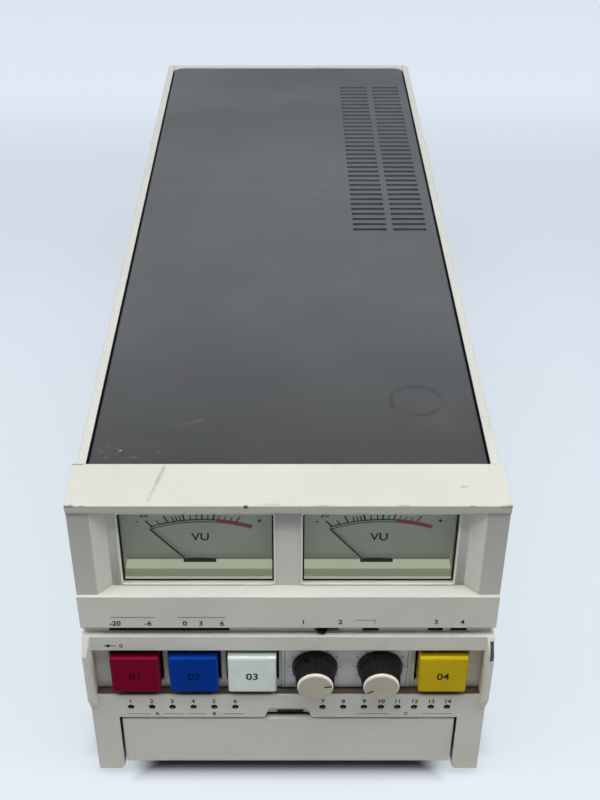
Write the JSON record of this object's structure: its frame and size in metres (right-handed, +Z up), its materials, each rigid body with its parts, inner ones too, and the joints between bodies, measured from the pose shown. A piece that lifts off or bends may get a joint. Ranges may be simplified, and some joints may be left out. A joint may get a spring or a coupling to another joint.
{
  "type": "broadcast cartridge player",
  "caption": "Desk-depth broadcast tape cartridge player with hooded level meters, square push buttons, fluted level knobs and a hinged cartridge door.",
  "frame": {"origin": "middle of the footprint, on the surface the feet stand on", "axes": "+Z up, the front with meters and door faces -Y, +X to the right seen from the front"},
  "size_m": [0.146, 0.4242, 0.1392],
  "materials": {
    "cream_case": "fine textured enamel",
    "cream_bezel": "fine textured moulding",
    "cover_paint": "satin textured enamel",
    "pale_panel": "satin enamel",
    "alloy": "milled",
    "steel": "brushed",
    "rubber": "matte",
    "red_cap": "satin",
    "blue_cap": "satin",
    "white_cap": "satin",
    "yellow_cap": "satin",
    "black_plastic": "matte",
    "lamp_black": "gloss lens",
    "lamp_green": "gloss lens",
    "knob_black": "fluted",
    "knob_cream": "satin",
    "board": "glass epoxy board",
    "clear_window": "clear moulding",
    "dial_card": "matte printed plate",
    "needle_black": "matte"
  },
  "bodies": {
    "case": {"base_plate": "alloy", "side_wall_left": "cream_case", "side_wall_right": "cream_case", "rear_panel": "cream_case", "top_cover": "cover_paint", "corner_blocks": "alloy", "case_screws": "steel", "feet": "rubber", "meter_bezel": "cream_bezel", "control_bezel": "cream_bezel", "indicator_strip": "cream_bezel", "button_panel": "cream_bezel", "knob_panel": "pale_panel", "band_lamps": "lamp_black", "green_lamps": "lamp_green", "dark_lamps": "lamp_black", "notch_sensor": "black_plastic", "button_housings": "black_plastic", "strip_switches": "black_plastic", "door_pins": "steel", "pot_bodies": "alloy", "pot_nuts": "steel", "front_board": "board", "meter_cases": "black_plastic", "meter_windows": "clear_window", "meter_dials": "dial_card", "meter_movements": "steel", "deck_plate": "alloy", "cartridge_rails": "alloy", "motor_bridge": "steel", "capstan_motor": "black_plastic", "head_base": "alloy", "tape_heads": "steel", "arm_bearing": "alloy", "pinch_solenoid": "black_plastic", "transformer": "black_plastic", "power_board": "board", "audio_board": "board", "rear_sockets": "black_plastic", "mains_inlet": "black_plastic", "fuse_holder": "black_plastic"},
    "red_button": {"red_button": "red_cap"},
    "blue_button": {"blue_button": "blue_cap"},
    "white_button": {"white_button": "white_cap"},
    "yellow_button": {"yellow_button": "yellow_cap"},
    "slide_lever": {"slide_lever": "black_plastic"},
    "small_key": {"small_key": "black_plastic"},
    "cartridge_door": {"cartridge_door": "cream_bezel"},
    "left_knob": {"left_knob": "knob_black", "left_knob_cap": "knob_cream", "left_pot_shaft": "steel"},
    "right_knob": {"right_knob": "knob_black", "right_knob_cap": "knob_cream", "right_pot_shaft": "steel"},
    "left_needle": {"left_needle": "needle_black"},
    "right_needle": {"right_needle": "needle_black"},
    "capstan": {"capstan": "steel"},
    "pinch_arm": {"pinch_arm": "steel"},
    "pinch_roller": {"pinch_roller": "rubber"},
    "solenoid_plunger": {"solenoid_plunger": "steel"}
  },
  "joints": [
    {"name": "red_press", "type": "slide", "parent": "case", "child": "red_button", "axis": [0, 1, 0], "range_m": [0, 0.003], "stiffness_N_per_m": 150, "springref_m": -0.002},
    {"name": "blue_press", "type": "slide", "parent": "case", "child": "blue_button", "axis": [0, 1, 0], "range_m": [0, 0.003], "stiffness_N_per_m": 150, "springref_m": -0.002},
    {"name": "white_press", "type": "slide", "parent": "case", "child": "white_button", "axis": [0, 1, 0], "range_m": [0, 0.003], "stiffness_N_per_m": 150, "springref_m": -0.002},
    {"name": "yellow_press", "type": "slide", "parent": "case", "child": "yellow_button", "axis": [0, 1, 0], "range_m": [0, 0.003], "stiffness_N_per_m": 150, "springref_m": -0.002},
    {"name": "key_press", "type": "slide", "parent": "case", "child": "small_key", "axis": [0, 1, 0], "range_m": [0, 0.001], "stiffness_N_per_m": 150, "springref_m": -0.001},
    {"name": "lever_slide", "type": "slide", "parent": "case", "child": "slide_lever", "axis": [1, 0, 0], "range_m": [0, 0.0036]},
    {"name": "door_swing", "type": "hinge", "parent": "case", "child": "cartridge_door", "pos_m": [0, -0.2009, 0.0372], "axis": [1, 0, 0], "range_deg": [0, 90]},
    {"name": "left_knob_turn", "type": "hinge", "parent": "case", "child": "left_knob", "pos_m": [0.0097, -0.2051, 0.0584], "axis": [0, 1, 0], "range_deg": [-232, 68]},
    {"name": "right_knob_turn", "type": "hinge", "parent": "case", "child": "right_knob", "pos_m": [0.0334, -0.2051, 0.0584], "axis": [0, 1, 0], "range_deg": [-32, 268]},
    {"name": "left_needle_swing", "type": "hinge", "parent": "case", "child": "left_needle", "pos_m": [-0.03105, -0.1916, 0.0962], "axis": [0, 1, 0], "range_deg": [0, 80.6], "stiffness_Nm_per_rad": 0.0008, "springref_deg": -22.92},
    {"name": "right_needle_swing", "type": "hinge", "parent": "case", "child": "right_needle", "pos_m": [0.03105, -0.1916, 0.0962], "axis": [0, 1, 0], "range_deg": [0, 80.6], "stiffness_Nm_per_rad": 0.0008, "springref_deg": -22.92},
    {"name": "capstan_spin", "type": "hinge", "parent": "case", "child": "capstan", "pos_m": [0.02, -0.0551, 0.06], "axis": [0, 0, 1], "continuous": true},
    {"name": "pinch_swing", "type": "hinge", "parent": "case", "child": "pinch_arm", "pos_m": [0.02, -0.06845, 0.058], "axis": [1, 0, 0], "range_deg": [0, 90], "stiffness_Nm_per_rad": 0.03, "springref_deg": -40.11},
    {"name": "roller_spin", "type": "hinge", "parent": "pinch_arm", "child": "pinch_roller", "pos_m": [0.02, -0.10545, 0.058], "axis": [0, 1, 0], "continuous": true},
    {"name": "plunger_pull", "type": "slide", "parent": "case", "child": "solenoid_plunger", "axis": [0, -1, 0], "range_m": [0, 0.0115]}
  ],
  "couplings": [
    {"joint": "plunger_pull", "follows": "pinch_swing", "m_per_rad": 0.0072}
  ]
}
